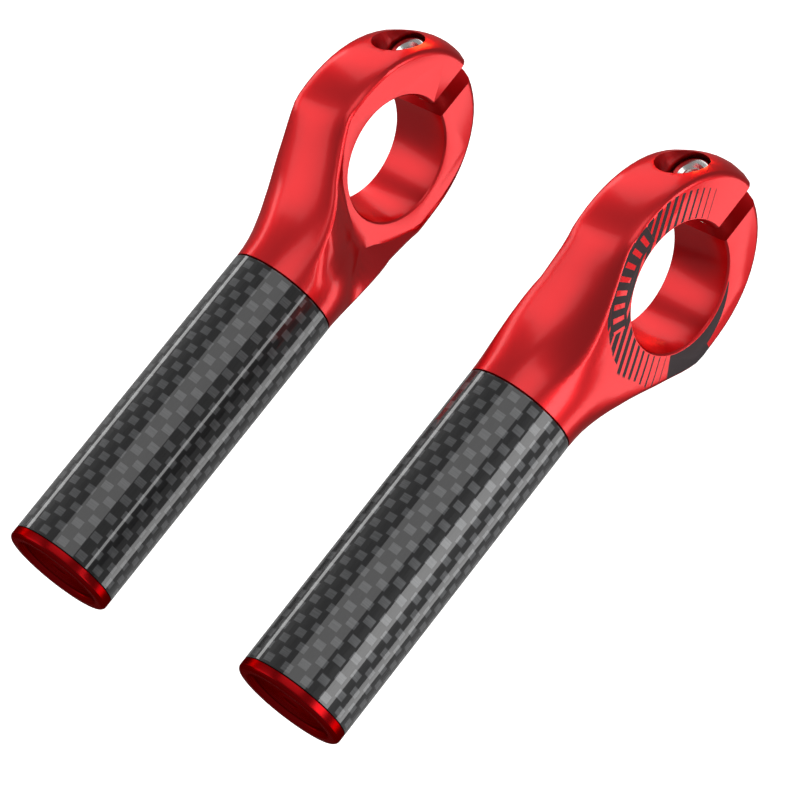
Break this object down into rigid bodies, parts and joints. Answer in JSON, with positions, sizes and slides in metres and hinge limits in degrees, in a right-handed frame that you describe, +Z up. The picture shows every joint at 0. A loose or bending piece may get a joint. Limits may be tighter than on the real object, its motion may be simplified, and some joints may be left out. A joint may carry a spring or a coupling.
{
  "type": "bar end grips",
  "caption": "Clamp-on bar ends for a bicycle handlebar: forged ring clamp with a pinch bolt, offset neck, straight carbon grip tube and a plugged end.",
  "frame": {"origin": "on the handlebar's axis, midway between the middle planes of the two clamp rings", "axes": "+X along the handlebar towards the right bar end, grip tubes point along -Y, +Z up on the clamp bolts' head side"},
  "size_m": [0.0758, 0.1115, 0.0332],
  "materials": {
    "anodised_head": "red anodised, satin gloss",
    "carbon": "woven carbon fibre under clear gloss lacquer",
    "bolt_steel": "stainless, bright",
    "insert_steel": "stainless, plain",
    "anodised_plug": "dark red anodised, turned",
    "seal_rubber": "black nitrile"
  },
  "bodies": {
    "left_bar_end": {"left_clamp_head": "anodised_head", "left_carbon_tube": "carbon", "left_thread_insert": "insert_steel"},
    "left_washer": {"left_bolt_washer": "bolt_steel"},
    "left_bolt": {"left_clamp_bolt": "bolt_steel"},
    "left_plug": {"left_end_plug": "anodised_plug", "left_plug_o_ring_1": "seal_rubber", "left_plug_o_ring_2": "seal_rubber"},
    "right_bar_end": {"right_clamp_head": "anodised_head", "right_carbon_tube": "carbon", "right_thread_insert": "insert_steel"},
    "right_washer": {"right_bolt_washer": "bolt_steel"},
    "right_bolt": {"right_clamp_bolt": "bolt_steel"},
    "right_plug": {"right_end_plug": "anodised_plug", "right_plug_o_ring_1": "seal_rubber", "right_plug_o_ring_2": "seal_rubber"}
  },
  "joints": [
    {"name": "left_bolt_travel", "type": "slide", "parent": "left_bar_end", "child": "left_washer", "axis": [0, 0, 1], "range_m": [0, 0.0036]},
    {"name": "left_bolt_turn", "type": "hinge", "parent": "left_washer", "child": "left_bolt", "pos_m": [-0.0319, 0.0147, 0.0054], "axis": [0, 0, 1], "range_deg": [0, 1800]},
    {"name": "left_plug_pull", "type": "slide", "parent": "left_bar_end", "child": "left_plug", "axis": [0, -1, 0], "range_m": [0, 0.016]},
    {"name": "right_bolt_travel", "type": "slide", "parent": "right_bar_end", "child": "right_washer", "axis": [0, 0, 1], "range_m": [0, 0.0036]},
    {"name": "right_bolt_turn", "type": "hinge", "parent": "right_washer", "child": "right_bolt", "pos_m": [0.0319, 0.0147, 0.0054], "axis": [0, 0, 1], "range_deg": [0, 1800]},
    {"name": "right_plug_pull", "type": "slide", "parent": "right_bar_end", "child": "right_plug", "axis": [0, -1, 0], "range_m": [0, 0.016]},
    {"name": "right_along_handlebar", "type": "slide", "parent": "left_bar_end", "child": "right_bar_end", "axis": [1, 0, 0], "range_m": [0, 0.1]}
  ],
  "couplings": [
    {"joint": "left_bolt_travel", "follows": "left_bolt_turn", "m_per_rad": 0.00011141},
    {"joint": "right_bolt_travel", "follows": "right_bolt_turn", "m_per_rad": 0.00011141}
  ]
}
